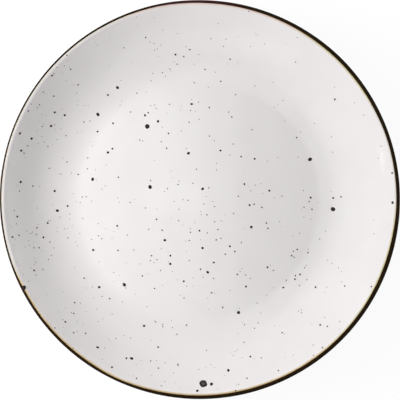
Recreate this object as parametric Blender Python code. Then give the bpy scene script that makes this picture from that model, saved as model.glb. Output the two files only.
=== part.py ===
# Dessert plate: a shallow coupe of turned stoneware on a foot ring, with a white glaze on both sides and
# a dark band brushed round the lip. It stands on its bare foot at z = 0, with its axis on Z. Metres.

import math

import bmesh
import bpy
from mathutils import Vector

# Finished plate, over the glaze
PLATE_DIAMETER = 0.205
PLATE_HEIGHT = 0.021

# Clay body
WELL_DIAMETER = 0.119  # flat middle of the well
SWEEP_RADIUS = 0.0665  # curve from the well into the flare
FLARE_RADIUS = 0.171  # the flare goes on curving up, more gently, to the lip
FLOOR_THICKNESS = 0.0042
WALL_THICKNESS = 0.0022
LIP_THICKNESS = 0.0014  # the wall tapers to a lip rounded to this
FOOT_DIAMETER = 0.116
FOOT_WIDTH = 0.0050
FOOT_DEPTH = 0.0030  # recess inside the foot ring
FOOT_EDGE_RADIUS = 0.0008
FOOT_FILLET_RADIUS = 0.0018

# Glaze coats and the brushed band
GLAZE_THICKNESS = 0.0005
SEAT_GAP = 0.0003  # between a coat and the clay, and between two coats
BARE_STRIP = 0.0005  # clay left bare on the foot's sides, above its rounded edge
BAND_WIDE = 0.0019  # seen from above, on the side where the brush was full
BAND_NARROW = 0.0006  # and on the side opposite
BAND_WIDE_SIDE = math.radians(-20)
BAND_DROP = 0.0025  # below the lip's round, on the outside

# Share of the room for it that a limited sweep, wall or fillet may take
FILLET_SHARE = 0.9

# Facets
SEGMENTS = 60
SWEEP_STEPS = 5
FLARE_STEPS = 3
LIP_STEPS = 8
GLAZED_LIP_STEPS = 4
BAND_LIP_STEPS = 6
FILLET_STEPS = 3
EDGE_STEPS = 2
SEAM_MERGE = 0.00001
SHARP_ANGLE = math.radians(40)

# Colours, linear, and roughness
CLAY_COLOUR = (0.56, 0.45, 0.34, 1)
CLAY_ROUGHNESS = 0.8
GLAZE_COLOUR = (0.81, 0.78, 0.775, 1)
GLAZE_ROUGHNESS = 0.2
BAND_COLOUR = (0.018, 0.011, 0.009, 1)
BAND_ROUGHNESS = 0.25

COAT = SEAT_GAP + GLAZE_THICKNESS
UP = Vector((0, 1))
DOWN = Vector((0, -1))
OUT = Vector((1, 0))
IN = Vector((-1, 0))


# The profile lies in the plane of the radius and the height. A run is a list of (point, normal), where
# the normal points out of the clay, so that a coat's faces are the run moved along its normals.


def polar(angle):
    return Vector((math.cos(angle), math.sin(angle)))


def arc(centre, radius, start, end, steps, facing):
    """A run along an arc, with normals that point from the centre (1) or towards it (-1)."""
    turns = [start + (end - start) * step / steps for step in range(steps + 1)]
    return [(centre + radius * polar(turn), facing * polar(turn)) for turn in turns]


def moved(run, distance):
    return [point + normal * distance for point, normal in run]


def coat(run):
    """The closed outline of a coat on a run of clay: its face, then its seat on the way back."""
    return moved(run, COAT) + moved(run, SEAT_GAP)[::-1]


class Profile:
    """The clay's profile as runs, from the middle of the well round the lip and the foot to the recess."""

    def __init__(self):
        self.floor_top = FOOT_DEPTH + FLOOR_THICKNESS
        self.lip_radius = LIP_THICKNESS / 2
        self.well_radius = WELL_DIAMETER / 2
        reach = Vector((PLATE_DIAMETER / 2 - COAT, PLATE_HEIGHT - COAT))
        self.lip_centre = reach - Vector((self.lip_radius, self.lip_radius))
        self.set_sweep()
        self.set_foot()

    def set_sweep(self):
        """The flare touches the sweep's circle and the lip's: an arc on the inside, a line on the outside."""
        run = self.lip_centre.x - self.well_radius
        rise = self.lip_centre.y - self.floor_top
        largest = (run**2 + rise**2 - self.lip_radius**2) / (2 * (rise + self.lip_radius))
        self.sweep_radius = min(SWEEP_RADIUS, FILLET_SHARE * largest)
        self.sweep_centre = Vector((self.well_radius, self.floor_top + self.sweep_radius))
        across = self.lip_centre - self.sweep_centre
        bearing = math.atan2(across.x, -across.y)
        self.flare_radius = max(FLARE_RADIUS, largest / FILLET_SHARE)
        gap = self.flare_radius - self.sweep_radius
        to_lip = self.flare_radius + self.lip_radius
        inner_share = (to_lip**2 - across.length_squared - gap**2) / (2 * gap * across.length)
        self.sweep_slope = bearing - math.acos(inner_share)
        self.flare_centre = self.sweep_centre + gap * polar(math.pi / 2 + self.sweep_slope)
        along = self.lip_centre - self.flare_centre
        self.inner_slope = math.atan2(along.x, -along.y)
        room = across.length + self.lip_radius - self.sweep_radius
        self.wall_thickness = min(WALL_THICKNESS, FILLET_SHARE * room)
        outer_share = (self.sweep_radius + self.wall_thickness - self.lip_radius) / across.length
        self.outer_slope = bearing - math.acos(outer_share)

    def set_foot(self):
        """The foot's outer fillet touches the wall's underside, on its sweep or on the flat inside that."""
        self.foot_outside = FOOT_DIAMETER / 2
        self.foot_inside = self.foot_outside - FOOT_WIDTH
        self.bare_top = FOOT_EDGE_RADIUS + BARE_STRIP
        under_radius = self.sweep_radius + self.wall_thickness
        room = self.floor_top - self.wall_thickness - self.bare_top
        self.foot_fillet = min(FOOT_FILLET_RADIUS, FILLET_SHARE * room)
        fillet_x = self.foot_outside + self.foot_fillet
        beyond = max(fillet_x - self.well_radius, 0)
        drop = math.sqrt((under_radius + self.foot_fillet) ** 2 - beyond**2)
        self.fillet_centre = Vector((fillet_x, self.sweep_centre.y - drop))
        self.under_end = math.asin(beyond / (under_radius + self.foot_fillet))
        self.recess_fillet = min(FOOT_FILLET_RADIUS, FILLET_SHARE * (FOOT_DEPTH - self.bare_top))

    def well_and_flare(self):
        start = -math.pi / 2
        middle = start + self.sweep_slope
        end = start + self.inner_slope
        sweep = arc(self.sweep_centre, self.sweep_radius, start, middle, SWEEP_STEPS, -1)
        flare = arc(self.flare_centre, self.flare_radius, middle, end, FLARE_STEPS, -1)
        # The lip's round starts where the flare ends.
        return [(Vector((0, self.floor_top)), UP)] + sweep + flare[1:-1]

    def lip(self, start, end, steps):
        return arc(self.lip_centre, self.lip_radius, start, end, steps, 1)

    def lip_start(self):
        return math.pi / 2 + self.inner_slope

    def lip_end(self):
        return self.outer_slope - math.pi / 2

    def outer_flare(self, distance):
        """One point on the outer flare, this far below the lip's round."""
        normal = polar(self.lip_end())
        down = Vector((normal.y, -normal.x))
        return [(self.lip_centre + normal * self.lip_radius + down * distance, normal)]

    def underside(self):
        start = -math.pi / 2
        under = arc(
            self.sweep_centre,
            self.sweep_radius + self.wall_thickness,
            self.lip_end(),
            start + self.under_end,
            SWEEP_STEPS,
            1,
        )
        fillet = arc(
            self.fillet_centre,
            self.foot_fillet,
            math.pi / 2 + self.under_end,
            math.pi,
            FILLET_STEPS,
            -1,
        )
        # With the fillet on the flat part, the sweep's last point and the fillet's first are apart.
        meets_sweep = (under[-1][0] - fillet[0][0]).length < SEAT_GAP
        return under[: -1 if meets_sweep else None] + fillet

    def foot(self):
        edge = FOOT_EDGE_RADIUS
        outer = Vector((self.foot_outside - edge, edge))
        inner = Vector((self.foot_inside + edge, edge))
        return (
            arc(outer, edge, 0, -math.pi / 2, EDGE_STEPS, 1)
            + arc(inner, edge, -math.pi / 2, -math.pi, EDGE_STEPS, 1)
        )

    def foot_outer_side(self):
        return [(Vector((self.foot_outside, self.bare_top)), OUT)]

    def foot_inner_side(self):
        return [(Vector((self.foot_inside, self.bare_top)), IN)]

    def recess(self):
        centre = Vector((self.foot_inside, FOOT_DEPTH)) - Vector((self.recess_fillet, self.recess_fillet))
        fillet = arc(centre, self.recess_fillet, 0, math.pi / 2, FILLET_STEPS, -1)
        return fillet + [(Vector((0, FOOT_DEPTH)), DOWN)]


def band_edge(profile, turn, apart):
    """Where on the lip the band starts, as an angle, so that it shows this wide from above."""
    fullness = abs(math.cos((turn - BAND_WIDE_SIDE) / 2))
    shows = BAND_NARROW + (BAND_WIDE - BAND_NARROW) * fullness
    lip = profile.lip_radius + COAT
    # It stays on the lip's round, clear of the flare.
    last = profile.lip_start() - SEAT_GAP / lip
    return min(math.acos(max(1 - shows / lip, -1)), last) + apart / lip


def body_outline(profile):
    runs = (
        profile.well_and_flare()
        + profile.lip(profile.lip_start(), profile.lip_end(), LIP_STEPS)
        + profile.underside()
        + profile.foot()
        + profile.recess()
    )
    return moved(runs, 0)


def upper_glaze_outline(profile, turn):
    edge = band_edge(profile, turn, SEAT_GAP / 2)
    lip = profile.lip(profile.lip_start(), edge, GLAZED_LIP_STEPS)
    return coat(profile.well_and_flare() + lip)


def rim_band_outline(profile, turn):
    edge = band_edge(profile, turn, -SEAT_GAP / 2)
    lip = profile.lip(edge, profile.lip_end(), BAND_LIP_STEPS)
    return coat(lip + profile.outer_flare(BAND_DROP))


def underside_glaze_outline(profile):
    top = profile.outer_flare(BAND_DROP + SEAT_GAP)
    return coat(top + profile.underside() + profile.foot_outer_side())


def foot_recess_glaze_outline(profile):
    run = profile.foot_inner_side() + profile.recess()
    return moved(run, SEAT_GAP)[::-1] + moved(run, COAT)


def add_object(name, mesh, material):
    mesh.materials.append(material)
    made = bpy.data.objects.new(name, mesh)
    bpy.context.scene.collection.objects.link(made)
    return made


def turned(name, outline, material):
    """A solid turned from one outline. An outline that starts on the axis also ends there."""
    count = len(outline)
    edges = [(step, step + 1) for step in range(count - 1)]
    if outline[0].x > 0:
        edges.append((count - 1, 0))
    mesh = bpy.data.meshes.new(name)
    mesh.from_pydata([(point.x, 0, point.y) for point in outline], edges, [])
    made = add_object(name, mesh, material)
    screw = made.modifiers.new("turn", "SCREW")
    screw.axis = "Z"
    screw.angle = 2 * math.pi
    screw.steps = SEGMENTS
    screw.render_steps = SEGMENTS
    screw.use_merge_vertices = True
    screw.merge_threshold = SEAM_MERGE
    screw.use_smooth_shade = True
    return made


def brushed(name, outline_at, material):
    """A solid whose outline changes round the plate, skinned over one outline for each segment."""
    mesh = bpy.data.meshes.new(name)
    shape = bmesh.new()
    turns = [2 * math.pi * segment / SEGMENTS for segment in range(SEGMENTS)]
    outlines = [outline_at(turn) for turn in turns]
    poles = {
        place: shape.verts.new((0, 0, point.y))
        for place, point in enumerate(outlines[0])
        if point.x == 0
    }
    rings = []
    for turn, outline in zip(turns, outlines):
        ring = []
        for place, point in enumerate(outline):
            where = (point.x * math.cos(turn), point.x * math.sin(turn), point.y)
            ring.append(poles.get(place) or shape.verts.new(where))
        rings.append(ring)
    for ring, following in zip(rings, rings[1:] + rings[:1]):
        for place in range(len(ring)):
            corners = [ring[place - 1], ring[place], following[place], following[place - 1]]
            corners = list(dict.fromkeys(corners))
            if len(corners) > 2:
                shape.faces.new(corners)
    bmesh.ops.recalc_face_normals(shape, faces=shape.faces)
    shape.to_mesh(mesh)
    shape.free()
    mesh.shade_smooth()
    mesh.set_sharp_from_angle(angle=SHARP_ANGLE)
    return add_object(name, mesh, material)


def principled(name, colour, roughness):
    material = bpy.data.materials.new(name)
    material.use_nodes = True
    shader = material.node_tree.nodes["Principled BSDF"]
    shader.inputs["Base Color"].default_value = colour
    shader.inputs["Roughness"].default_value = roughness
    shader.inputs["Metallic"].default_value = 0
    material.diffuse_color = colour
    return material


def main():
    for old in list(bpy.data.objects):
        bpy.data.objects.remove(old)

    profile = Profile()
    body = turned(
        "stoneware_body",
        body_outline(profile),
        principled("bare clay", CLAY_COLOUR, CLAY_ROUGHNESS),
    )
    coats = [
        brushed(
            "upper_glaze",
            lambda turn: upper_glaze_outline(profile, turn),
            principled("white glaze", GLAZE_COLOUR, GLAZE_ROUGHNESS),
        ),
        brushed(
            "rim_band",
            lambda turn: rim_band_outline(profile, turn),
            principled("brown band", BAND_COLOUR, BAND_ROUGHNESS),
        ),
        turned(
            "underside_glaze",
            underside_glaze_outline(profile),
            principled("white glaze outside", GLAZE_COLOUR, GLAZE_ROUGHNESS),
        ),
        turned(
            "foot_recess_glaze",
            foot_recess_glaze_outline(profile),
            principled("white glaze in the recess", GLAZE_COLOUR, GLAZE_ROUGHNESS),
        ),
    ]
    for layer in coats:
        layer.parent = body


main()
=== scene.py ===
import math

import bpy
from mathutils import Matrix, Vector


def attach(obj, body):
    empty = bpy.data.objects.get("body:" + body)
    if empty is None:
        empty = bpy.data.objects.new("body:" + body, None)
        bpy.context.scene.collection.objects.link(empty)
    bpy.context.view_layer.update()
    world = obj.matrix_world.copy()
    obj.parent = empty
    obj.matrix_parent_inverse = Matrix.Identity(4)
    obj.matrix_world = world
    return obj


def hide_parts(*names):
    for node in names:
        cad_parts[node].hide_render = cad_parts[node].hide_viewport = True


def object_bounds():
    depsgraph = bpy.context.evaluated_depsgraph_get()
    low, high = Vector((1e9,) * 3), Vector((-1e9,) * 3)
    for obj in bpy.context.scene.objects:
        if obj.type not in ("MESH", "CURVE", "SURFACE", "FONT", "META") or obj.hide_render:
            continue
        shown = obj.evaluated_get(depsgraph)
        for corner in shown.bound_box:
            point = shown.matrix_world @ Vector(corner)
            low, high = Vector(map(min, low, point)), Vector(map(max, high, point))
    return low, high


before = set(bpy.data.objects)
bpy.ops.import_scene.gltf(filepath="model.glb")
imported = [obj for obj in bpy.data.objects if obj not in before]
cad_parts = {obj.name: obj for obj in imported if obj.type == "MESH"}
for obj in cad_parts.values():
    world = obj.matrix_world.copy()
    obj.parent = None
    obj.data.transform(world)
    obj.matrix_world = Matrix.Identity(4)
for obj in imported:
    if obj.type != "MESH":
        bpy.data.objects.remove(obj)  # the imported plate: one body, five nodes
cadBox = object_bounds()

mm = 0.001
scene = bpy.context.scene
scene.view_settings.view_transform = "Standard"
print("frame loaded:", sorted(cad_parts))


class Wire:
    # wraps one socket, so that sums on it read as sums
    def __init__(self, bench, socket):
        self.bench = bench
        self.socket = socket

    def other(self, name):  # another output of the same node
        return Wire(self.bench, self.socket.node.outputs[name])

    def run(self, operation, second=0.0):
        return self.sum(operation, self, second)

    def sum(self, operation, first, second):
        return self.bench.node("ShaderNodeMath", {"operation": operation}, {0: first, 1: second})

    def __add__(self, value):
        return self.sum("ADD", self, value)

    def __radd__(self, value):
        return self.sum("ADD", value, self)

    def __sub__(self, value):
        return self.sum("SUBTRACT", self, value)

    def __rsub__(self, value):
        return self.sum("SUBTRACT", value, self)

    def __mul__(self, value):
        return self.sum("MULTIPLY", self, value)

    def __rmul__(self, value):
        return self.sum("MULTIPLY", value, self)

    def __truediv__(self, value):
        return self.sum("DIVIDE", self, value)

    def __rtruediv__(self, value):
        return self.sum("DIVIDE", value, self)

    def __pow__(self, value):
        return self.sum("POWER", self, value)


class Bench:
    # adds nodes to one tree
    def __init__(self, tree):
        self.tree = tree

    def node(self, kind, settings=None, sockets=None, out=0):
        made = self.tree.nodes.new(kind)
        for name, value in (settings or {}).items():
            setattr(made, name, value)
        for name, value in (sockets or {}).items():
            if isinstance(value, Wire):
                self.tree.links.new(value.socket, made.inputs[name])
            else:
                made.inputs[name].default_value = value
        return Wire(self, made.outputs[out]) if made.outputs else made

    def noise(self, place, size, detail=2.0, rough=0.5, seed=0.0, out=0):  # size in the units of place
        sockets = {"Vector": place, "W": seed, "Scale": 1 / size, "Detail": detail, "Roughness": rough}
        return self.node("ShaderNodeTexNoise", {"noise_dimensions": "4D"}, sockets, out)

    def between(self, value, low, high):  # 0 at low, 1 at high, soft at both ends
        sockets = {"Value": value, "From Min": low, "From Max": high}
        return self.node("ShaderNodeMapRange", {"interpolation_type": "SMOOTHSTEP"}, sockets)

    def tint(self, share, first, second):
        return self.node("ShaderNodeMix", {"data_type": "RGBA"}, {0: share, 6: first, 7: second}, 2)

    def vector(self, x, y, z):
        return self.node("ShaderNodeCombineXYZ", {}, {"X": x, "Y": y, "Z": z})

    def vectorRun(self, operation, first, second=(0.0, 0.0, 0.0), out=0):
        return self.node("ShaderNodeVectorMath", {"operation": operation}, {0: first, 1: second}, out)

    def attribute(self, name, out="Fac"):  # read in a finish
        return self.node("ShaderNodeAttribute", {"attribute_name": name}, {}, out)

    def named(self, name, kind="FLOAT"):  # read in a mesh
        return self.node("GeometryNodeInputNamedAttribute", {"data_type": kind}, {"Name": name})

    def store(self, geometry, name, value, kind="FLOAT"):
        return self.node("GeometryNodeStoreNamedAttribute", {"data_type": kind, "domain": "POINT"}, {
            "Geometry": geometry, "Name": name, "Value": value})


def colour(red, green, blue):
    return (red, green, blue, 1.0)


def startTree(name, inputs):
    tree = bpy.data.node_groups.new(name, "GeometryNodeTree")
    for label, kind in inputs:
        tree.interface.new_socket(name=label, in_out="INPUT", socket_type="NodeSocket" + kind)
    tree.interface.new_socket(name="Geometry", in_out="OUTPUT", socket_type="NodeSocketGeometry")
    bench = Bench(tree)
    return bench, bench.node("NodeGroupInput")


def grow(name, source, tree, values):
    # runs a tree on a mesh and keeps the result as a plain mesh at the origin
    maker = bpy.data.objects.new(name + "Maker", source)
    scene.collection.objects.link(maker)
    modifier = maker.modifiers.new("grow", "NODES")
    modifier.node_group = tree
    for socket in tree.interface.items_tree:
        if socket.in_out == "INPUT" and socket.name in values:
            modifier[socket.identifier] = values[socket.name]
    depsgraph = bpy.context.evaluated_depsgraph_get()
    mesh = bpy.data.meshes.new_from_object(
        maker.evaluated_get(depsgraph), preserve_all_data_layers=True, depsgraph=depsgraph)
    mesh.name = name
    mesh.materials.clear()  # the tree leaves an empty slot before its finish
    mesh.materials.append(values["Finish"])
    mesh.polygons.foreach_set("material_index", [0] * len(mesh.polygons))
    maker.modifiers.remove(modifier)
    bpy.data.objects.remove(maker)
    piece = bpy.data.objects.new(name, mesh)
    scene.collection.objects.link(piece)
    print("made", name, len(mesh.polygons), "faces")
    return piece


def startFinish(name):
    finish = bpy.data.materials.new(name)
    finish.use_nodes = True
    finish.node_tree.nodes.clear()
    bench = Bench(finish.node_tree)
    return finish, bench, bench.node("ShaderNodeTexCoord", {}, {}, "Object")


def endFinish(bench, shader):
    bench.node("ShaderNodeOutputMaterial", {}, {"Surface": shader})


def endSurface(bench, shade, roughness, bump, more=None):
    endFinish(bench, bench.node("ShaderNodeBsdfPrincipled", {}, {
        "Base Color": shade, "Roughness": roughness, "Normal": bump, **(more or {})}))


def bumped(bench, look, height):
    return bench.node("ShaderNodeBump", {}, {
        "Strength": look["bumpStrength"], "Distance": look["bumpHeight"], "Height": height}, "Normal")


def flattened(bench, place):
    return bench.vectorRun("MULTIPLY", place, (1.0, 1.0, 0.0))


def fromAxis(bench, place):
    return bench.vectorRun("LENGTH", flattened(bench, place), out="Value")


def dotTowards(bench, place, angle):
    # cosine of the turn from a side of the plate, from above
    unit = bench.vectorRun("NORMALIZE", flattened(bench, place))
    return bench.vectorRun("DOT_PRODUCT", unit, (math.cos(angle), math.sin(angle), 0.0), "Value")


# camera: nearly straight down, up in the picture is +Y
view = {
    "elevation": 86.0,
    "distance": 1.10,
    "target": Vector((0.00008, -0.00081, 0.0179)),
    "lens": 193.0,
    "frame": 400,  # pixels across the picture
}

lens = bpy.data.cameras.new("viewLens")
lens.sensor_fit = "HORIZONTAL"
lens.sensor_width = 36.0
lens.lens = view["lens"]
lens.clip_start = 0.01
lens.clip_end = 20.0
camera = bpy.data.objects.new("viewCamera", lens)
lift = math.radians(view["elevation"])
sight = Vector((0.0, -math.cos(lift), math.sin(lift)))
camera.location = view["target"] + sight * view["distance"]
camera.rotation_euler = sight.to_track_quat("Z", "Y").to_euler()
scene.collection.objects.link(camera)
scene.camera = camera
print("camera set")

# the plate in section, on its finished skin
plate = {
    "radius": max(cadBox[1][:2]),
    "height": cadBox[1][2],
    "wellRadius": 59.5 * mm,   # flat middle of the well
    "floorTop": 8.0 * mm,
    "sweep": 65.7 * mm,        # curve from the well to the flare
    "flare": 170.2 * mm,       # gentler curve from there to the lip
    "wall": 3.8 * mm,          # well skin to outside skin
    "lipIn": 4.0 * mm,         # roundings of the lip: inside,
    "lipOut": 0.85 * mm,       # outside,
    "lipUnder": 2.6 * mm,      # and below its outermost point
    "coat": 0.78 * mm,         # glaze, down to just above the clay
    "clayGap": 0.01 * mm,
    "footOuter": 58.0 * mm,
    "footInner": 53.0 * mm,
    "footEdge": 0.8 * mm,
    "bareStrip": 1.25 * mm,    # clay left without glaze above the table,
    "bareLess": 0.2 * mm,      # and less of it inside the ring
    "outsideEnd": -89.6,       # degrees round the sweep, where the foot's fillet takes over
    "footFillet": 1.0 * mm,
    "recessTop": 2.2 * mm,
    "recessFillet": 0.73 * mm,
    "bandStart": 0.45 * mm,    # band past the top of the lip, before its edge wanders
    "bandDrop": 2.5 * mm,      # band below the lip on the outside
}
# how many steps each stretch of the section is cut into
cuts = {
    "well": 36,
    "sweep": 30,
    "flare": 12,
    "lip": 20,
    "band": 16,
    "bandUnder": 10,
    "bandDrop": 6,
    "outside": 10,
    "outsideSweep": 26,
    "footFillet": 10,
    "bead": 6,
    "footEdge": 8,
    "footFace": 4,
    "recessFillet": 8,
    "recess": 30,
}
crest = (plate["radius"] - plate["lipOut"], plate["height"])  # top of the lip
underCentre = (plate["radius"] - plate["lipUnder"], plate["height"] - plate["lipOut"])
sweepCentre = (plate["wellRadius"], plate["floorTop"] + plate["sweep"])


def polar(centre, radius, degrees):
    turn = math.radians(degrees)
    return (centre[0] + radius * math.cos(turn), centre[1] + radius * math.sin(turn))


def outerSlope():
    # slope of the line that touches the outsides of the sweep and the lip
    across = underCentre[0] - sweepCentre[0]
    drop = sweepCentre[1] - underCentre[1]
    gap = plate["sweep"] + plate["wall"] - plate["lipUnder"]
    return math.degrees(math.asin(gap / math.hypot(across, drop)) - math.atan2(drop, across))


def innerFlare():
    # the arc that touches the insides of the sweep and the lip: slopes where it starts and ends, centre
    across = crest[0] - sweepCentre[0]
    drop = sweepCentre[1] - crest[1] + plate["lipIn"]
    gap = plate["flare"] - plate["sweep"]
    far = math.hypot(across, drop)
    share = ((plate["flare"] + plate["lipIn"]) ** 2 - far ** 2 - gap ** 2) / (2 * gap * far)
    start = math.degrees(math.atan2(across, drop) - math.acos(share))
    centre = polar(sweepCentre, gap, 90 + start)
    end = math.degrees(math.atan2(crest[0] - centre[0], centre[1] - crest[1] + plate["lipIn"]))
    return start, end, centre


flareOut = outerSlope()
sweepEnd, flareIn, flareCentre = innerFlare()

# ways along the lip's skin, from its outermost point up and over to the inside
wayCrest = plate["lipOut"] * math.pi / 2
wayFlare = wayCrest + plate["lipIn"] * math.radians(flareIn)
wayEdge = wayCrest + plate["bandStart"]
offLip = -1.0  # way of a point that isn't on the lip
samePlace = 1e-7  # points of the section that are nearer than this are one


def lipSpot(way, depth):
    up = min(way, wayCrest) / plate["lipOut"]
    over = max(way - wayCrest, 0.0) / plate["lipIn"]
    r = crest[0] + (plate["lipOut"] - depth) * math.cos(up) - (plate["lipIn"] - depth) * math.sin(over)
    z = crest[1] - plate["lipOut"] + (plate["lipOut"] - depth) * math.sin(up)
    return r, z - (plate["lipIn"] - depth) * (1 - math.cos(over))


def sectionPoint(r, z, slide=0.0, sag=0.0, way=offLip, depth=0.0):
    # slide is a point's share of the band edge's wander along the lip, sag the same for its lower edge
    return {"spot": (r, z), "slide": slide, "sag": sag, "way": way, "depth": depth}


def arcRun(centre, radius, start, end, steps):
    run = []
    for i in range(steps + 1):
        r, z = polar(centre, radius, start + (end - start) * i / steps)
        run.append(sectionPoint(r, z))
    return run


def lipRun(start, end, steps, depth, slide):
    run = []
    for i in range(steps + 1):
        share = i / steps
        way = start + (end - start) * share
        moved = slide[0] + (slide[1] - slide[0]) * share
        run.append(sectionPoint(*lipSpot(way, depth), moved, 0.0, way, depth))
    return run


def straightRun(first, last, steps, sag=(0.0, 0.0)):
    run = []
    for i in range(steps + 1):
        share = i / steps
        r = first[0] + (last[0] - first[0]) * share
        z = first[1] + (last[1] - first[1]) * share
        run.append(sectionPoint(r, z, 0.0, sag[0] + (sag[1] - sag[0]) * share))
    return run


def beadRun(clayRadius, depth, low, high, out):
    # rounded end of a coat on the side of the foot, from its tip up; out is 1 or -1
    run = []
    for i in range(cuts["bead"] + 1):
        turn = math.radians(90 * i / cuts["bead"])
        thick = (plate["coat"] - depth) * math.sin(turn)
        run.append(sectionPoint(clayRadius + out * thick, high - (high - low) * math.cos(turn)))
    return run


def topRun(depth):
    floor = plate["floorTop"] - depth
    run = straightRun((0.0, floor), (plate["wellRadius"], floor), cuts["well"])
    run += arcRun(sweepCentre, plate["sweep"] + depth, -90, sweepEnd - 90, cuts["sweep"])
    run += arcRun(flareCentre, plate["flare"] + depth, sweepEnd - 90, flareIn - 90, cuts["flare"])
    run += lipRun(wayFlare, wayEdge, cuts["lip"], depth, (0.0, 1.0))
    return run


def bandRun(depth):
    run = lipRun(wayEdge, 0.0, cuts["band"], depth, (1.0, 0.0))
    run += arcRun(underCentre, plate["lipUnder"] - depth, 0, flareOut - 90, cuts["bandUnder"])
    last = run[-1]["spot"]
    end = polar(last, plate["bandDrop"], flareOut + 180)
    run += straightRun(last, end, cuts["bandDrop"], (0.0, 1.0))
    return run


def outsideRun(depth):
    start = bandRun(depth)[-1]["spot"]
    outer = plate["sweep"] + plate["wall"] - depth
    end = polar(sweepCentre, outer, flareOut - 90)
    run = straightRun(start, end, cuts["outside"], (1.0, 0.0))
    run += arcRun(sweepCentre, outer, flareOut - 90, plate["outsideEnd"], cuts["outsideSweep"])
    side = plate["footOuter"] + plate["coat"]
    top = plate["floorTop"] - plate["wall"]
    bend = (side + plate["footFillet"], top - plate["footFillet"])
    run += arcRun(bend, plate["footFillet"] + depth, 90, 180, cuts["footFillet"])
    run += reversed(beadRun(plate["footOuter"], depth, plate["bareStrip"], bend[1], 1))
    return run


def recessRun(depth):
    side = plate["footInner"] - plate["coat"]
    bend = (side - plate["recessFillet"], plate["recessTop"] - plate["recessFillet"])
    run = beadRun(plate["footInner"], depth, plate["bareStrip"] - plate["bareLess"], bend[1], -1)
    run += arcRun(bend, plate["recessFillet"] + depth, 0, 90, cuts["recessFillet"])
    ceiling = plate["recessTop"] + depth
    run += straightRun((bend[0], ceiling), (0.0, ceiling), cuts["recess"])
    return run


def footRun():
    edge = plate["footEdge"]
    outer = plate["footOuter"] - edge
    inner = plate["footInner"] + edge
    run = arcRun((outer, edge), edge, 0, -90, cuts["footEdge"])
    run += straightRun((outer, 0.0), (inner, 0.0), cuts["footFace"])
    run += arcRun((inner, edge), edge, -90, -180, cuts["footEdge"])
    return run


def clayRun():
    under = plate["coat"] + plate["clayGap"]
    run = topRun(under) + bandRun(under) + outsideRun(under) + footRun() + recessRun(under)
    return [sectionPoint(*point["spot"]) for point in run]


def outlineMesh(name, skin, inner, onAxis):
    # a coat in section as loose points, outside first; along runs from the band's edge
    along = []
    walked = 0.0
    last = skin[-1] if onAxis else skin[0]
    for point in (reversed(skin) if onAxis else skin):
        walked += math.dist(point["spot"], last["spot"])
        last = point
        along.append(walked if onAxis else -walked)
    if onAxis:
        along.reverse()
    rows = [{**point, "along": way} for point, way in zip(skin, along)]
    rows += [{**point, "along": 1.0} for point in reversed(inner)]
    kept = []
    for point in rows:
        if not kept or math.dist(point["spot"], kept[-1]["spot"]) > samePlace:
            kept.append(point)
    if not onAxis:
        kept.append(kept[0])
    mesh = bpy.data.meshes.new(name)
    mesh.from_pydata([(point["spot"][0], 0.0, point["spot"][1]) for point in kept], [], [])
    for label in ("slide", "sag", "way", "depth", "along"):
        values = [point[label] for point in kept]
        mesh.attributes.new(label, "FLOAT", "POINT").data.foreach_set("value", values)
    return mesh


# how the plate is turned and how its band was brushed on
turning = {
    "Segments": 360,
    "Band Wide": 2.28 * mm,
    "Band Thin": 0.94 * mm,      # on the far side
    "Wide Side": math.radians(-8),
    "Brush Wander": 0.16 * mm,
    "Brush Stroke": 0.22,        # length of a wander, in plate radii
    "Sag Wander": 1.2 * mm,
    "Ripple Height": 0.02 * mm,
    "Ripple Size": 16.0 * mm,
    "Seed": 4.0,
}
# marks of the brush: side of the plate, reach to each hand in degrees, change of the band's width
brushMarks = {
    "Overlap": (222, 24, 0.38 * mm),
    "Lift": (7, 20, -0.28 * mm),
    "Reload": (276, 32, 0.20 * mm),
    "Press": (68, 38, 0.16 * mm),
    "Return": (170, 32, 0.06 * mm),
}
markCore = 0.4  # share of its reach over which a mark is at its full
bandLeast = 0.05 * mm
edgeRoom = 0.15 * mm  # lip left between the band's edge and the flare
for markName, (markSide, markReach, markGain) in brushMarks.items():
    turning[markName + " Side"] = math.radians(markSide)
    turning[markName + " Reach"] = math.radians(markReach)
    turning[markName + " Gain"] = markGain
# slight flats in the round of the lip: side, reach to each hand in degrees, depth
lipFlats = {
    "Far Flat": (74, 30, 0.21 * mm),
    "Near Flat": (207, 34, 0.10 * mm),
}
for flatName, (flatSide, flatReach, flatDepth) in lipFlats.items():
    turning[flatName + " Side"] = math.radians(flatSide)
    turning[flatName + " Reach"] = math.radians(flatReach)
    turning[flatName + " Depth"] = flatDepth


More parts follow.
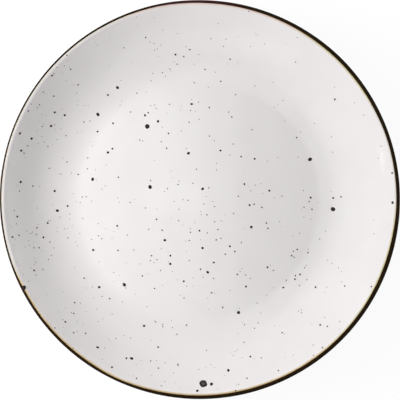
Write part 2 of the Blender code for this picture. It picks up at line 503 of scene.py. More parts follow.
def makeTurningTree():
    inputs = [("Outline", "Geometry"), ("Segments", "Int")]
    inputs += [(label, "Float") for label in turning if label != "Segments"]
    bench, outline = startTree("turnedPlate", inputs + [("Finish", "Material")])
    rows = bench.node("GeometryNodeAttributeDomainSize", {"component": "MESH"}, {"Geometry": outline})
    grid = bench.node("GeometryNodeMeshGrid", {}, {
        "Size X": 1.0, "Size Y": 1.0, "Vertices X": outline.other("Segments") + 1, "Vertices Y": rows})
    position = bench.node("GeometryNodeInputPosition")
    across = bench.node("ShaderNodeSeparateXYZ", {}, {"Vector": position})
    turn = (across + 0.5) * math.tau
    row = ((across.other("Y") + 0.5) * (rows - 1)).run("ROUND")

    def sampled(value, kind):
        return bench.node("GeometryNodeSampleIndex", {"data_type": kind, "domain": "POINT"},
                          {"Geometry": outline, "Value": value, "Index": row})

    spot = bench.node("ShaderNodeSeparateXYZ", {}, {"Vector": sampled(position, "FLOAT_VECTOR")})
    slide, sag, way, depth, along = [
        sampled(bench.named(label), "FLOAT") for label in ("slide", "sag", "way", "depth", "along")]
    cosine = turn.run("COSINE")
    sine = turn.run("SINE")
    ring = bench.vector(cosine, sine, 0.0)

    # width of the band that shows from above, and the turn round the lip that gives it
    seed = outline.other("Seed")
    strokeSize = outline.other("Brush Stroke").run("MAXIMUM", 0.01)
    stroke = bench.noise(ring, strokeSize, detail=3.0, rough=0.6, seed=seed) - 0.5
    swell = 0.5 + 0.5 * (turn - outline.other("Wide Side")).run("COSINE")
    wide = outline.other("Band Thin") + (outline.other("Band Wide") - outline.other("Band Thin")) * swell
    for mark in brushMarks:
        reach = outline.other(mark + " Reach")
        facing = (turn - outline.other(mark + " Side")).run("COSINE")
        wide = wide + outline.other(mark + " Gain") * bench.between(
            facing, reach.run("COSINE"), (reach * markCore).run("COSINE"))
    wide = (wide + stroke * outline.other("Brush Wander")).run("MAXIMUM", bandLeast)
    up = (1 - wide / plate["lipOut"]).run("MAXIMUM", 0.0).run("ARCCOSINE")
    over = ((wide - plate["lipOut"]) / plate["lipIn"]).run("MAXIMUM", 0.0).run("ARCSINE")
    shift = up * plate["lipOut"] + over * plate["lipIn"] - wayEdge
    shift = shift.run("MINIMUM", wayFlare - wayEdge - edgeRoom)

    # a point on the lip slides along it, any other stays
    onLip = way.run("GREATER_THAN", offLip * 0.5)
    way = way + slide * shift
    up = way.run("MINIMUM", wayCrest) / plate["lipOut"]
    over = (way - wayCrest).run("MAXIMUM", 0.0) / plate["lipIn"]
    lipOut = plate["lipOut"] - depth
    lipIn = plate["lipIn"] - depth
    lipRadius = crest[0] + lipOut * up.run("COSINE") - lipIn * over.run("SINE")
    lipHeight = crest[1] - plate["lipOut"] + lipOut * up.run("SINE") - lipIn * (1 - over.run("COSINE"))
    radius = spot + onLip * (lipRadius - spot)
    height = spot.other("Z") + onLip * (lipHeight - spot.other("Z"))
    sagging = sag * stroke * outline.other("Sag Wander")
    radius = radius + sagging * math.cos(math.radians(flareOut))
    height = height + sagging * math.sin(math.radians(flareOut))
    outwards = bench.between(radius, plate["wellRadius"], plate["radius"])
    for label in lipFlats:
        facing = (turn - outline.other(label + " Side")).run("COSINE")
        flatness = bench.between(facing, outline.other(label + " Reach").run("COSINE"), 1.0)
        radius = radius - flatness * outwards * outline.other(label + " Depth")
    ground = bench.vector(radius * cosine, radius * sine, 0.0)
    rippleSize = outline.other("Ripple Size").run("MAXIMUM", mm)
    ripple = bench.noise(ground, rippleSize, detail=1.0, seed=seed) - 0.5
    height = height + ripple * outline.other("Ripple Height")
    fromEdge = along - (1 - slide) * shift

    kept = bench.store(grid, "fromEdge", fromEdge)
    turned = bench.node("GeometryNodeSetPosition", {}, {
        "Geometry": kept, "Position": bench.vector(radius * cosine, radius * sine, height)})
    closed = bench.node("GeometryNodeMergeByDistance", {}, {"Geometry": turned, "Distance": 1e-6})
    outside = bench.node("GeometryNodeFlipFaces", {}, {"Mesh": closed})
    smooth = bench.node("GeometryNodeSetShadeSmooth", {}, {"Geometry": outside, "Shade Smooth": True})
    real = bench.node("GeometryNodeRealizeInstances", {}, {"Geometry": smooth})
    done = bench.node("GeometryNodeSetMaterial", {}, {
        "Geometry": real, "Material": outline.other("Finish")})
    bench.node("NodeGroupOutput", {}, {"Geometry": done})
    return bench.tree


# white glaze: warm white, slightly clouded, breaking to amber, olive, maroon or cream at the band
glazeLook = {
    "white": colour(0.833, 0.800, 0.802),
    "cloud": colour(0.816, 0.782, 0.784),
    "cloudSize": 22.0 * mm,
    "cloudRange": (0.35, 0.65),  # values of a noise between which its tint comes in, here and below
    "grainSize": 1.4 * mm,
    "grainRange": (0.62, 0.80),
    "grainTint": 0.10,
    "index": 1.5,
    "roughness": 0.035,
    "grainRoughness": 0.02,
    "bendRoughness": 0.085,  # more where the coat is thick, in the bend round the well
    "bendStart": (46.0 * mm, 58.0 * mm),  # radii between which the bend comes in,
    "bendEnd": (70.0 * mm, 88.0 * mm),    # and goes out again
    "breakWidth": 1.25 * mm,
    "breakLeast": 0.5,       # shares of that width: the least,
    "breakMore": 0.8,        # what the uneven noise adds,
    "breakCore": 0.25,       # and what is at its full
    "breakUneven": 3.0 * mm,
    "breakAmber": colour(0.61, 0.445, 0.205),
    "breakOlive": colour(0.62, 0.56, 0.315),
    "breakMaroon": colour(0.73, 0.58, 0.51),
    "breakPale": colour(0.69, 0.66, 0.60),
    # tones over the amber: side in degrees, cosines of the turn from it where a tone starts and is full
    "breakTones": (
        ("breakOlive", 5, 0.45, 0.75),
        ("breakMaroon", 92, 0.75, 0.95),
        ("breakPale", 12, 0.93, 0.985),
        ("breakPale", 157, 0.64, 0.76),
    ),
    "cloudBump": 0.7,
    "grainBump": 0.3,
    "bumpHeight": 0.05 * mm,
    "bumpStrength": 0.35,
}


def makeGlaze(name, look, breaks):
    finish, bench, place = startFinish(name)
    cloud = bench.noise(place, look["cloudSize"], detail=4.0, rough=0.55)
    grain = bench.noise(place, look["grainSize"], seed=3.0)
    shade = bench.tint(bench.between(cloud, *look["cloudRange"]), look["cloud"], look["white"])
    grained = bench.between(grain, *look["grainRange"]) * look["grainTint"]
    shade = bench.tint(grained, shade, look["cloud"])
    if breaks:
        edge = bench.attribute("fromEdge")
        uneven = bench.noise(place, look["breakUneven"], detail=3.0, rough=0.6, seed=7.0)
        tone = look["breakAmber"]
        for toneName, side, low, high in look["breakTones"]:
            facing = dotTowards(bench, place, math.radians(side))
            tone = bench.tint(bench.between(facing, low, high), tone, look[toneName])
        reach = (look["breakLeast"] + look["breakMore"] * uneven) * look["breakWidth"]
        line = 1 - bench.between(edge / reach, look["breakCore"], 1.0)
        shade = bench.tint(line, shade, tone)
    out = fromAxis(bench, place)
    bend = bench.between(out, *look["bendStart"]) * (1 - bench.between(out, *look["bendEnd"]))
    roughness = look["roughness"] + look["bendRoughness"] * bend + look["grainRoughness"] * (grain - 0.5)
    bump = bumped(bench, look, cloud * look["cloudBump"] + grain * look["grainBump"])
    endSurface(bench, shade, roughness, bump, {"IOR": look["index"]})
    return finish


# dark band: iron brown, nearly black where it is thick, streaked along the brush
bandLook = {
    "thick": colour(0.0150, 0.0072, 0.0018),
    "thin": colour(0.075, 0.038, 0.0085),
    "maroon": colour(0.042, 0.0125, 0.0150),  # where it thins on the far side
    "maroonSide": 91,
    "maroonReach": (0.955, 0.996),  # cosines of the turn from that side, where it starts and is full
    "maroonShare": 0.8,
    "thinWidth": 0.42 * mm,
    "thinLeast": 0.4,
    "blotchSize": 5.0 * mm,
    "streakSize": 6.0 * mm,
    "streakSquash": (1.0, 1.0, 12.0),  # streaks run round the plate
    "streakRange": (0.55, 0.80),
    "streakTint": 0.5,
    "roughness": 0.28,
    "blotchRoughness": 0.12,
    "gloss": 0.04,
    "blotchBump": 0.5,
    "bumpHeight": 0.05 * mm,
    "bumpStrength": 0.3,
}


def makeBand(name, look):
    finish, bench, place = startFinish(name)
    edge = bench.attribute("fromEdge")
    blotch = bench.noise(place, look["blotchSize"], detail=4.0, rough=0.6)
    spread = bench.vectorRun("MULTIPLY", place, look["streakSquash"])
    streak = bench.noise(spread, look["streakSize"], seed=5.0)
    thin = 1 - bench.between(-1 * edge / look["thinWidth"], 0.0, 1.0)
    streaked = look["streakTint"] * bench.between(streak, *look["streakRange"])
    thin = (thin * (look["thinLeast"] + blotch) + streaked).run("MINIMUM", 1.0)
    shade = bench.tint(thin, look["thick"], look["thin"])
    facing = dotTowards(bench, place, math.radians(look["maroonSide"]))
    maroon = bench.between(facing, *look["maroonReach"]) * look["maroonShare"]
    shade = bench.tint(maroon, shade, look["maroon"])
    roughness = look["roughness"] + look["blotchRoughness"] * (blotch - 0.5)
    bump = bumped(bench, look, streak + blotch * look["blotchBump"])
    endSurface(bench, shade, roughness, bump, {"Specular IOR Level": look["gloss"]})
    return finish


# bare stoneware at the foot: buff, gritty, a little darker where the table rubs it
clayLook = {
    "buff": colour(0.56, 0.44, 0.33),
    "dark": colour(0.38, 0.28, 0.20),
    "grit": colour(0.16, 0.11, 0.08),
    "grainSize": 0.8 * mm,
    "grainRange": (0.50, 0.75),
    "grainTint": 0.35,
    "gritSize": 1.3 * mm,
    "gritRange": (0.10, 0.22),
    "patchSize": 14.0 * mm,
    "patchRange": (0.3, 0.7),
    "patchTint": 0.6,
    "wornHeight": (0.05 * mm, 0.5 * mm),  # worn below the first, untouched above the second
    "wornTint": 0.25,
    "roughness": 0.78,
    "grainRoughness": 0.15,
    "pitBump": 0.4,
    "bumpHeight": 0.15 * mm,
    "bumpStrength": 0.6,
}


def makeClay(name, look):
    finish, bench, place = startFinish(name)
    grain = bench.noise(place, look["grainSize"], detail=4.0, rough=0.65)
    patch = bench.noise(place, look["patchSize"], detail=3.0, seed=2.0)
    pits = bench.node("ShaderNodeTexVoronoi", {}, {
        "Vector": place, "Scale": 1 / look["gritSize"]}, "Distance")
    height = bench.node("ShaderNodeSeparateXYZ", {}, {"Vector": place}, "Z")
    worn = (1 - bench.between(height, *look["wornHeight"])) * look["wornTint"]
    patched = bench.between(patch, *look["patchRange"]) * look["patchTint"]
    shade = bench.tint(patched + worn, look["buff"], look["dark"])
    grained = bench.between(grain, *look["grainRange"]) * look["grainTint"]
    shade = bench.tint(grained, shade, look["dark"])
    shade = bench.tint(1 - bench.between(pits, *look["gritRange"]), shade, look["grit"])
    roughness = look["roughness"] + look["grainRoughness"] * (grain - 0.5)
    bump = bumped(bench, look, grain + pits * look["pitBump"])
    endSurface(bench, shade, roughness, bump)
    return finish


turningTree = makeTurningTree()
glazeFinish = makeGlaze("whiteGlazeFinish", glazeLook, True)
outsideFinish = makeGlaze("outsideGlazeFinish", glazeLook, False)
bandFinish = makeBand("brownBandFinish", bandLook)
clayFinish = makeClay("bareClayFinish", clayLook)


def turnPiece(name, outline, finish, changes=None):
    values = {**turning, "Finish": finish, **(changes or {})}
    return grow(name, outline, turningTree, values)


coat = plate["coat"]
topOutline = outlineMesh("topOutline", topRun(0), topRun(coat), True)
bandOutline = outlineMesh("bandOutline", bandRun(0), bandRun(coat), False)
outsideOutline = outlineMesh("outsideOutline", outsideRun(0), outsideRun(coat), False)
recessOutline = outlineMesh("recessOutline", recessRun(coat)[::-1], recessRun(0)[::-1], True)
clayOutline = outlineMesh("clayOutline", clayRun(), [], True)
whiteGlaze = turnPiece("whiteGlaze", topOutline, glazeFinish)
rimBand = turnPiece("rimBand", bandOutline, bandFinish)
outsideGlaze = turnPiece("outsideGlaze", outsideOutline, outsideFinish)
recessGlaze = turnPiece("recessGlaze", recessOutline, outsideFinish)
clayBody = turnPiece("clayBody", clayOutline, clayFinish, {"Ripple Height": 0.0})

# drops of dark slip in the glaze, by the pixels that they are seen at, read off one by one;
# their sizes were corrected afterwards, by measuring how dark each is in the photo and the render
dropPixels = {
    "big": [  # with their width
        (203.2, 383.7, 7.9), (332.9, 209.2, 4.6), (147.3, 126.4, 4.8), (24.1, 287.6, 4.0),
        (150.0, 187.0, 3.8), (310.0, 159.4, 3.8), (124.4, 284.7, 3.6), (98.0, 114.5, 3.5),
        (211.5, 384.1, 3.3), (238.5, 312.5, 3.2), (251.3, 227.0, 2.8), (92.6, 179.3, 3.1),
        (117.5, 87.6, 3.1), (131.6, 358.4, 3.1), (188.5, 153.3, 2.8), (202.6, 188.9, 2.8),
        (392.6, 202.6, 2.8), (197.3, 390.8, 2.7), (228.4, 370.3, 2.7), (207.7, 272.3, 2.7),
        (99.2, 287.2, 2.6), (57.3, 210.7, 3.0), (164.8, 240.2, 2.6), (97.6, 347.4, 2.6),
        (158.0, 121.3, 2.5), (20.7, 182.0, 2.5), (202.6, 248.1, 2.5), (19.9, 133.4, 2.4),
        (31.6, 138.6, 2.6), (93.1, 250.0, 2.4), (170.3, 263.9, 2.4), (144.1, 325.9, 2.4),
        (51.0, 126.0, 2.5), (64.7, 115.2, 2.3), (107.9, 152.4, 2.4), (191.7, 104.0, 2.4),
        (54.6, 191.1, 2.3), (21.2, 150.6, 2.4), (145.0, 115.3, 2.3), (54.8, 112.4, 2.2),
    ],
    "middling": [
        (117.2, 225.9), (244.4, 184.1), (269.3, 190.7), (250.4, 356.6), (107.9, 95.0), (52.0, 75.6),
        (47.7, 223.0), (294.9, 279.2), (65.3, 321.9), (34.1, 270.4), (12.5, 237.0), (170.4, 255.7),
        (112.0, 367.2), (158.2, 347.1), (183.8, 281.3), (246.0, 286.5), (229.8, 246.3), (213.8, 262.5),
        (315.6, 287.2), (320.2, 324.9), (249.6, 205.1), (220.5, 150.6), (254.6, 158.8), (392.1, 173.1),
        (112.4, 148.7), (17.3, 216.6), (43.4, 237.4), (126.5, 358.3), (175.5, 54.6), (333.2, 198.0),
        (310.7, 197.6), (267.5, 267.2), (300.0, 274.4), (283.3, 287.5), (67.6, 206.0), (113.0, 123.3),
        (334.8, 99.4), (97.6, 131.6), (199.5, 230.7),
    ],
    "small": [
        (53.7, 96.2), (78.1, 84.8), (32.9, 186.1), (158.4, 368.1), (177.9, 364.3), (142.3, 275.9),
        (84.2, 278.2), (37.0, 227.7), (241.1, 156.6), (254.1, 204.2), (261.9, 207.4), (267.9, 228.3),
        (237.2, 274.4), (156.5, 219.3), (162.1, 230.2), (74.6, 302.7), (73.7, 313.5), (73.5, 332.7),
        (85.6, 333.4), (39.2, 247.7), (109.7, 298.6), (291.7, 255.6), (295.4, 275.6), (222.7, 307.4),
        (235.7, 390.6), (200.5, 269.3), (70.7, 69.3), (78.3, 174.4), (118.4, 177.3), (183.8, 56.6),
        (145.7, 37.5), (168.4, 133.4), (28.4, 111.0), (296.6, 137.6), (341.1, 196.8), (205.0, 69.4),
        (231.8, 117.0), (209.2, 107.5), (151.5, 255.7), (118.0, 250.4), (186.5, 325.1), (136.5, 378.4),
        (18.9, 235.3), (327.3, 326.4), (266.3, 223.1), (322.4, 347.6), (225.3, 254.2), (278.4, 370.5),
        (246.9, 378.2), (371.3, 286.5), (344.6, 286.1), (297.2, 249.4), (220.8, 81.3), (148.2, 112.6),
        (216.3, 239.9), (308.0, 252.6), (230.1, 59.2), (234.9, 251.5), (282.1, 332.7), (211.6, 292.7),
        (312.0, 209.3),
    ],
    "faint": [
        (187.8, 200.3), (189.3, 260.5), (124.0, 47.8), (206.6, 350.4), (166.5, 148.0), (261.4, 357.8),
        (194.3, 82.7), (235.5, 94.6), (299.4, 285.5), (254.5, 328.3), (211.0, 38.8), (293.3, 251.3),
        (304.7, 267.7), (306.8, 279.7), (223.4, 46.4), (162.4, 72.6), (145.5, 208.0), (214.5, 206.5),
        (178.5, 220.5), (214.7, 221.8), (207.3, 233.0), (189.3, 240.5), (241.3, 242.5), (150.3, 260.5),
        (160.5, 270.5), (213.7, 278.5), (169.5, 104.3), (228.7, 112.0), (189.2, 122.2), (252.0, 129.7),
        (161.2, 141.7), (233.3, 144.0), (196.3, 169.2), (193.0, 183.3), (167.5, 188.5), (150.7, 180.5),
    ],
    "slight": [
        (334.5, 87.2), (354.5, 102.8), (363.7, 115.2), (314.5, 123.3), (300.5, 132.0), (331.5, 136.8),
        (332.5, 152.2), (298.3, 157.2), (378.3, 158.3), (299.5, 233.3), (293.0, 256.3), (374.0, 233.8),
        (327.5, 260.3), (306.2, 265.3), (338.5, 268.0), (341.5, 281.8), (301.2, 309.7), (298.5, 311.2),
        (324.8, 317.5), (218.2, 23.4), (177.4, 33.6), (226.0, 39.2), (250.4, 46.4), (264.6, 43.8),
        (199.0, 54.4), (150.0, 42.0), (154.0, 43.4), (157.4, 48.8), (154.6, 50.0), (152.8, 73.4),
        (255.0, 86.1), (274.0, 107.3), (174.3, 201.5), (212.7, 201.5), (201.3, 214.5), (221.5, 220.8),
        (190.3, 228.5), (161.3, 248.7), (154.0, 262.5), (203.0, 277.3), (240.0, 271.5), (154.7, 105.0),
        (181.3, 131.0), (214.3, 140.7), (216.5, 163.3), (199.2, 119.3), (186.5, 148.5), (164.2, 191.2),
        (230.0, 155.2),
    ],
}
dropSizes = {
    "big": 1.03,  # a share of the width in pixels
    "middling": 1.05 * mm,
    "small": 0.83 * mm,
    "faint": 0.64 * mm,
    "slight": 0.49 * mm,
}

speckling = {
    "Fine Density": 13000.0,      # fine specks to a square metre, before the lean
    "Fine Least": 0.34 * mm,
    "Fine Most": 0.74 * mm,
    "Lean": 0.50,                 # more of them towards the left and the front
    "Drop Height": 0.10 * mm,
    "Wobble": 0.30,
    "Seed": 11,
}
scatter = {
    "frontLean": 0.5,            # the lean towards the front, as a share of that towards the left
    "clusterSize": 26.0 * mm,
    "clusterRange": (0.2, 0.7),  # values of the noise between which specks come in
    "clusterGain": 1.5,
    "thinnest": 0.1,             # least share of the density
    "facing": 0.4,               # least rise of the glaze's normal where specks lie
    "sizePower": 1.8,            # more small specks than large ones
    "stretch": (0.84, 1.16),
    "lowest": 0.5,               # share of the drop height that the narrowest drops have,
    "addedWidth": 4.0 * mm,      # and the width that adds one drop height
    "wobbleSize": 0.9,           # in radii of a drop
    "wobbleKinds": 60,           # how far its seed spreads over the drops
}
sightReach = 2.0  # metres, past the plate
# specks under the plate: a little larger, and even all round
underside = {"Side": -1.0, "Fine Most": 1.1 * mm, "Lean": 0.0}


def makeSpecklingTree():
    inputs = [("Drops", "Geometry"), ("Carrier", "Object"), ("Eye", "Vector"), ("Side", "Float")]
    inputs += [(label, "Float") for label in speckling if label != "Seed"]
    bench, drops = startTree("speckledGlaze", inputs + [("Seed", "Int"), ("Finish", "Material")])
    seed = drops.other("Seed")
    side = drops.other("Side")  # 1 for the top of the plate, -1 for its underside
    carrier = bench.node("GeometryNodeObjectInfo", {"transform_space": "RELATIVE"}, {
        "Object": drops.other("Carrier")}, "Geometry")
    position = bench.node("GeometryNodeInputPosition")
    here = bench.node("ShaderNodeSeparateXYZ", {}, {"Vector": position})

    def chance(low, high, more):
        return bench.node("FunctionNodeRandomValue", {"data_type": "FLOAT"}, {
            2: low, 3: high, 8: seed + more}, 1)

    # a drop with a pixel of its own lies where its line from the eye meets the glaze
    eye = drops.other("Eye")
    ray = bench.node("GeometryNodeRaycast", {}, {
        "Target Geometry": carrier, "Source Position": eye, "Ray Length": sightReach,
        "Ray Direction": bench.vectorRun("SUBTRACT", position, eye)}, "Hit Position")
    placed = bench.store(drops, "up", ray.other("Hit Normal"), "FLOAT_VECTOR")
    placed = bench.node("GeometryNodeSetPosition", {}, {"Geometry": placed, "Position": ray})

    # fine specks are scattered, thicker on the left and the front
    normal = bench.node("GeometryNodeInputNormal")
    faces = bench.node("ShaderNodeSeparateXYZ", {}, {"Vector": normal}, "Z") * side
    lean = 1 - (here + scatter["frontLean"] * here.other("Y")) / plate["radius"] * drops.other("Lean") * 2
    cluster = bench.noise(position, scatter["clusterSize"], detail=1.0, seed=seed)
    thick = lean * bench.between(cluster, *scatter["clusterRange"]) * scatter["clusterGain"]
    density = drops.other("Fine Density") * thick.run("MAXIMUM", scatter["thinnest"])
    scattered = bench.node("GeometryNodeDistributePointsOnFaces", {"distribute_method": "RANDOM"}, {
        "Mesh": carrier, "Selection": faces.run("GREATER_THAN", scatter["facing"]),
        "Density": density, "Seed": seed})
    fine = bench.store(scattered, "up", scattered.other("Normal"), "FLOAT_VECTOR")
    size = chance(0.0, 1.0, 1) ** scatter["sizePower"]
    size = drops.other("Fine Least") + (drops.other("Fine Most") - drops.other("Fine Least")) * size
    fine = bench.store(fine, "across", size)

    def dropped(points, segments, rings, more):  # more keeps its random draws apart
        ball = bench.node("GeometryNodeMeshUVSphere", {}, {
            "Segments": segments, "Rings": rings, "Radius": 1.0})
        ball = bench.store(ball, "dropPlace", position, "FLOAT_VECTOR")
        points = bench.store(points, "dropKind", chance(0.0, 1.0, more))
        across = bench.named("across")
        stretch = chance(*scatter["stretch"], more + 1)
        stand = bench.node("FunctionNodeAlignRotationToVector", {"axis": "Z"}, {
            "Vector": bench.named("up", "FLOAT_VECTOR")})
        spin = bench.node("FunctionNodeRotateRotation", {"rotation_space": "LOCAL"}, {
            "Rotation": stand,
            "Rotate By": bench.node("FunctionNodeEulerToRotation", {}, {
                0: bench.vector(0.0, 0.0, chance(0.0, math.tau, more + 2))})})
        return bench.node("GeometryNodeInstanceOnPoints", {}, {
            "Points": points, "Instance": ball, "Rotation": spin, "Scale": bench.vector(
                across * 0.5 * stretch, across * 0.5 / stretch,
                drops.other("Drop Height") * (scatter["lowest"] + across / scatter["addedWidth"]))})

    joined = bench.node("GeometryNodeJoinGeometry")
    placedDrops = dropped(placed, segments=14, rings=6, more=20)
    fineDrops = dropped(fine, segments=8, rings=4, more=30)
    for kind in (placedDrops, fineDrops):
        bench.tree.links.new(kind.socket, joined.socket.node.inputs[0])
    real = bench.node("GeometryNodeRealizeInstances", {}, {"Geometry": joined})

    # each outline is a little uneven, along the glaze and not off it
    dropPlace = bench.named("dropPlace", "FLOAT_VECTOR")
    up = bench.named("up", "FLOAT_VECTOR")
    wobbleSeed = bench.named("dropKind") * scatter["wobbleKinds"]
    push = bench.noise(dropPlace, scatter["wobbleSize"], seed=wobbleSeed, out=1)
    push = bench.vectorRun("SUBTRACT", push, (0.5, 0.5, 0.5))
    off = bench.node("ShaderNodeVectorMath", {"operation": "SCALE"}, {
        0: up, "Scale": bench.vectorRun("DOT_PRODUCT", push, up, "Value")})
    push = bench.node("ShaderNodeVectorMath", {"operation": "SCALE"}, {
        0: bench.vectorRun("SUBTRACT", push, off),
        "Scale": bench.named("across") * drops.other("Wobble")})
    uneven = bench.node("GeometryNodeSetPosition", {}, {"Geometry": real, "Offset": push})
    smooth = bench.node("GeometryNodeSetShadeSmooth", {}, {"Geometry": uneven, "Shade Smooth": True})
    done = bench.node("GeometryNodeSetMaterial", {}, {
        "Geometry": smooth, "Material": drops.other("Finish")})
    bench.node("NodeGroupOutput", {}, {"Geometry": done})
    return bench.tree


dropLook = {
    "slip": colour(0.018, 0.014, 0.014),
    "faint": colour(0.10, 0.085, 0.085),
    "pale": colour(0.10, 0.08, 0.075),
    "faintWidth": (0.35 * mm, 0.9 * mm),  # drops narrower than these tend to the faint slip,
    "paleWidth": (2.2 * mm, 3.4 * mm),    # and wider than these are paler in the middle
    "paleReach": (0.15, 0.70),            # out to these shares of the way to their edge
    "paleTint": 0.7,
    "cloudSize": 0.7 * mm,
    "cloudRange": (0.55, 0.80),
    "cloudTint": 0.2,
    "roughness": 0.25,
    "cloudRoughness": 0.1,
    "gloss": 0.15,
    "bumpHeight": 0.05 * mm,
    "bumpStrength": 0.2,
}


def makeDropFinish(name, look):
    finish, bench, place = startFinish(name)
    across = bench.attribute("across")
    kind = bench.attribute("dropKind")
    out = fromAxis(bench, bench.attribute("dropPlace", "Vector"))
    cloud = bench.noise(place, look["cloudSize"], detail=3.0, rough=0.6)
    narrow = 1 - bench.between(across, *look["faintWidth"])
    shade = bench.tint(narrow * kind, look["slip"], look["faint"])
    middle = (1 - bench.between(out, *look["paleReach"])) * bench.between(across, *look["paleWidth"])
    clouded = bench.between(cloud, *look["cloudRange"]) * look["cloudTint"]
    shade = bench.tint(middle * look["paleTint"] + clouded, shade, look["pale"])
    roughness = look["roughness"] + look["cloudRoughness"] * (cloud - 0.5)
    bump = bumped(bench, look, cloud)
    endSurface(bench, shade, roughness, bump, {"Specular IOR Level": look["gloss"]})
    return finish


def dropMesh(name):
    # a point a metre along each drop's line of sight, with the drop's width
    pixel = lens.sensor_width / lens.lens / view["frame"]  # width of a pixel, a metre from the eye
    rows = [(x, y, wide * pixel * view["distance"] * dropSizes["big"]) for x, y, wide in dropPixels["big"]]
    for kind in ("middling", "small", "faint", "slight"):
        rows += [(x, y, dropSizes[kind]) for x, y in dropPixels[kind]]
    middle = view["frame"] / 2
    facing = camera.rotation_euler.to_matrix()
    sights = [Vector(((x - middle) * pixel, (middle - y) * pixel, -1.0)) for x, y, wide in rows]
    mesh = bpy.data.meshes.new(name)
    mesh.from_pydata([camera.location + facing @ seen for seen in sights], [], [])
    mesh.attributes.new("across", "FLOAT", "POINT").data.foreach_set("value", [row[2] for row in rows])
    return mesh


specklingTree = makeSpecklingTree()
dropFinish = makeDropFinish("slipDropFinish", dropLook)
topSpeckles = grow("topSpeckles", dropMesh("topDrops"), specklingTree, {
    **speckling, "Carrier": whiteGlaze, "Eye": camera.location, "Side": 1.0, "Finish": dropFinish})
outsideSpeckles = grow("outsideSpeckles", bpy.data.meshes.new("outsideDrops"), specklingTree, {
    **speckling, **underside, "Carrier": outsideGlaze, "Seed": 23, "Finish": dropFinish})
recessSpeckles = grow("recessSpeckles", bpy.data.meshes.new("recessDrops"), specklingTree, {
    **speckling, **underside, "Carrier": recessGlaze, "Seed": 31, "Finish": dropFinish})

for piece, node, slot in (
    (whiteGlaze, "upper_glaze", "white_glaze"),
    (rimBand, "rim_band", "brown_band"),
    (outsideGlaze, "underside_glaze", "white_glaze_outside"),
    (recessGlaze, "foot_recess_glaze", "white_glaze_recess"),
    (clayBody, "stoneware_body", "bare_clay"),
):
    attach(piece, "root")
    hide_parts(node)
for piece, slot in (
    (topSpeckles, "brown_band"), (outsideSpeckles, "brown_band"), (recessSpeckles, "brown_band")):
    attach(piece, "root")
print("pieces ride on the plate")

# studio: softboxes low on the left, panels overhead, lamps in front and behind, two strips on the right
studio = {
    "lamps": {
        "sideBox": {"turn": 176, "lift": 30, "away": 0.38, "size": (0.40, 0.22), "watts": 0.40},
        "sideStrip": {"turn": 176, "lift": 26, "away": 0.42, "size": (0.40, 0.08), "watts": 1.06},
        "sideBack": {"turn": 160, "lift": 24, "away": 0.45, "size": (0.40, 0.20), "watts": 0.43},
        "sideFront": {"turn": 190, "lift": 24, "away": 0.45, "size": (0.40, 0.20), "watts": 0.50},
        "sidePanel": {
            "from": (-0.211, -0.01, 0.417), "to": (0.09, 0.0, 0.018), "size": (0.50, 0.213), "watts": 0.09},
        "widePanel": {"from": (-0.37, 0.10, 1.20), "size": (0.46, 0.80), "watts": 0.77},
        "farPanel": {"from": (-0.50, 0.10, 1.23), "size": (0.62, 1.00), "watts": 0.77},
        "stripPanel": {"from": (-0.048, 0.10, 1.20), "size": (0.104, 0.80), "watts": 0.11},
        "midPanel": {"from": (-0.01, 0.10, 1.21), "size": (0.10, 0.40), "watts": 0.064},
        "lensCard": {"from": (-0.029, 0.083, 1.18), "size": (0.062, 0.03), "watts": 0.0048},
        "glintStrip": {
            "turn": 184.0, "lift": 52.5, "away": 0.347, "size": (0.026, 0.0015), "watts": 0.0017},
        "backLow": {"turn": 85, "lift": 15, "away": 0.90, "size": (0.60, 0.30), "watts": 1.32},
        "backHigh": {"turn": 85, "lift": 62, "away": 0.90, "size": (0.60, 0.30), "watts": 0.17},
        "frontLow": {"turn": 265, "lift": 40, "away": 0.90, "size": (0.60, 0.30), "watts": 0.06},
        "frontHigh": {"turn": 265, "lift": 62, "away": 0.90, "size": (0.60, 0.30), "watts": 0.37},
        "farStrip": {
            "from": (0.30, 0.0, 0.320), "to": (-0.097, 0.0, 0.020), "size": (0.50, 0.040), "watts": 0.045},
        "farStripTall": {
            "from": (0.30, 0.0, 0.330), "to": (-0.097, 0.0, 0.020), "size": (0.60, 0.060), "watts": 0.045},
    },
    "fill": 0.170,
    "floorWhite": colour(0.86, 0.86, 0.86),
    "floorDull": colour(0.84, 0.84, 0.84),
    "floorShadow": colour(0.13, 0.13, 0.13),  # as seen: the white stays even and a shadow still shows
    "floorShadowDull": colour(0.12, 0.12, 0.12),
    "floorGlow": 0.92,
    "shadowReach": (0.15, 0.40),  # the shadow fades out between these distances
    "paperSize": 0.02,
    "paperTint": 0.3,
    "floorReach": 1.6,
    "floorLevel": -0.05 * mm,  # clear of the foot, so that the two faces do not mix
}


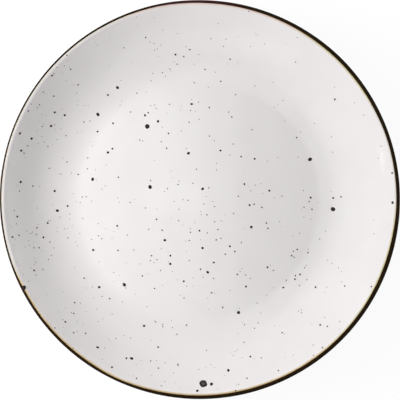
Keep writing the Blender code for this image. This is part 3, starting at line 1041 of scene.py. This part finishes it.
def hangLight(name, setting):
    lamp = bpy.data.lights.new(name, "AREA")
    lamp.shape = "RECTANGLE"
    lamp.size = setting["size"][0]
    lamp.size_y = setting["size"][1]
    lamp.energy = setting["watts"]
    holder = bpy.data.objects.new(name, lamp)
    if "from" in setting:  # a panel that faces straight down, unless it is aimed
        place = Vector(setting["from"])
        towards = Vector(setting["to"]) - place if "to" in setting else Vector((0.0, 0.0, -1.0))
    else:
        turn = math.radians(setting["turn"])
        lift = math.radians(setting["lift"])
        flat = setting["away"] * math.cos(lift)
        place = Vector((flat * math.cos(turn), flat * math.sin(turn), setting["away"] * math.sin(lift)))
        towards = Vector((0.0, 0.0, 0.01)) - place
    holder.location = place
    holder.rotation_euler = towards.to_track_quat("-Z", "Y").to_euler()
    holder.visible_camera = False
    scene.collection.objects.link(holder)


for lampName, lampSetting in studio["lamps"].items():
    hangLight(lampName, lampSetting)


def seenRays(bench):
    rays = bench.node("ShaderNodeLightPath")
    seen = rays.run("MAXIMUM", rays.other("Is Glossy Ray"))
    return seen.run("MAXIMUM", rays.other("Is Transmission Ray"))


world = bpy.data.worlds.new("studioWorld")
world.use_nodes = True
world.node_tree.nodes.clear()
bench = Bench(world.node_tree)
glow = studio["fill"] + (1 - studio["fill"]) * seenRays(bench)
bench.node("ShaderNodeOutputWorld", {}, {"Surface": bench.node("ShaderNodeBackground", {}, {
    "Color": colour(1.0, 1.0, 1.0), "Strength": glow})})
scene.world = world

floorFinish, bench, floorPlace = startFinish("floorFinish")
paper = bench.noise(floorPlace, studio["paperSize"], 3.0) * studio["paperTint"]
white = bench.node("ShaderNodeBsdfDiffuse", {}, {
    "Color": bench.tint(paper, studio["floorWhite"], studio["floorDull"])})
shadow = bench.node("ShaderNodeBsdfDiffuse", {}, {
    "Color": bench.tint(paper, studio["floorShadow"], studio["floorShadowDull"])})
lit = bench.node("ShaderNodeEmission", {}, {"Strength": studio["floorGlow"]})
lit = bench.node("ShaderNodeAddShader", {}, {0: shadow, 1: lit})
clear = bench.node("ShaderNodeEmission", {}, {"Strength": 1.0})
out = bench.vectorRun("LENGTH", floorPlace, out="Value")
faded = bench.between(out, *studio["shadowReach"])
lit = bench.node("ShaderNodeMixShader", {}, {0: faded, 1: lit, 2: clear})
endFinish(bench, bench.node("ShaderNodeMixShader", {}, {0: seenRays(bench), 1: white, 2: lit}))
floorMesh = bpy.data.meshes.new("floor")
floorReach = studio["floorReach"]
floorCorners = [(x * floorReach, y * floorReach) for x, y in ((-1, -1), (1, -1), (1, 1), (-1, 1))]
floorMesh.from_pydata([(x, y, studio["floorLevel"]) for x, y in floorCorners], [], [(0, 1, 2, 3)])
floorMesh.materials.append(floorFinish)
floor = bpy.data.objects.new("floor", floorMesh)
scene.collection.objects.link(floor)
print("studio lit")
